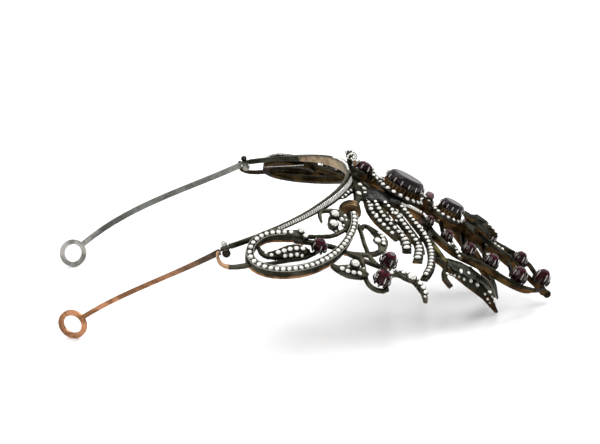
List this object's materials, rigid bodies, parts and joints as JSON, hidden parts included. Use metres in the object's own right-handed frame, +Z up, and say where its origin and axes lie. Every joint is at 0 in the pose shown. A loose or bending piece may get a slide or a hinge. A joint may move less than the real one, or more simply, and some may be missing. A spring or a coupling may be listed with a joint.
{
  "type": "diadem",
  "caption": "Open diadem with a curved band, two flat arms ending in eyelets, scrolled sides and a flaring crest set with garnets and diamonds.",
  "frame": {"origin": "on the table, under the middle of the whole outline as the diadem lies", "axes": "+X from the arms' eyelets towards the crest's tip, +Y to the far side, +Z up from the table"},
  "size_m": [0.2127, 0.1565, 0.065],
  "materials": {
    "copper_arm": "worn and brown",
    "steel_arm": "worn grey",
    "band_metal": "blackened outside, rose gilt inside",
    "screw_silver": "satin",
    "dark_silver": "blackened, worn at the edges",
    "worn_gilt": "worn gilt",
    "diamond": "cut and polished",
    "garnet": "cut and polished",
    "pink_garnet": "cut and polished"
  },
  "bodies": {
    "root": {"band": "band_metal", "arm_near": "copper_arm", "arm_far": "steel_arm", "temple_screw_near": "screw_silver", "temple_screw_far": "screw_silver", "side_scroll_near": "dark_silver", "side_scroll_far": "dark_silver", "collar_near": "worn_gilt", "collar_far": "worn_gilt", "crest": "dark_silver", "scroll_diamonds_near": "diamond", "scroll_diamonds_far": "diamond", "leaf_diamonds_near": "diamond", "leaf_diamonds_far": "diamond", "feather_diamonds_near": "diamond", "feather_diamonds_far": "diamond", "large_oval_garnet": "garnet", "second_oval_garnet": "garnet", "oblong_garnet": "garnet", "front_diamond": "diamond", "end_garnet": "pink_garnet", "berry_tip": "garnet", "berry_near_1": "garnet", "berry_near_2": "garnet", "berry_near_3": "garnet", "berry_near_4": "garnet", "berry_near_5": "garnet", "berry_far_1": "garnet", "berry_far_2": "garnet", "berry_far_3": "garnet", "berry_far_4": "garnet", "berry_far_5": "garnet", "side_berry_near_1": "garnet", "side_berry_near_2": "garnet", "side_berry_near_3": "garnet", "side_berry_far_1": "garnet", "side_berry_far_2": "garnet", "side_berry_far_3": "garnet"}
  },
  "joints": []
}
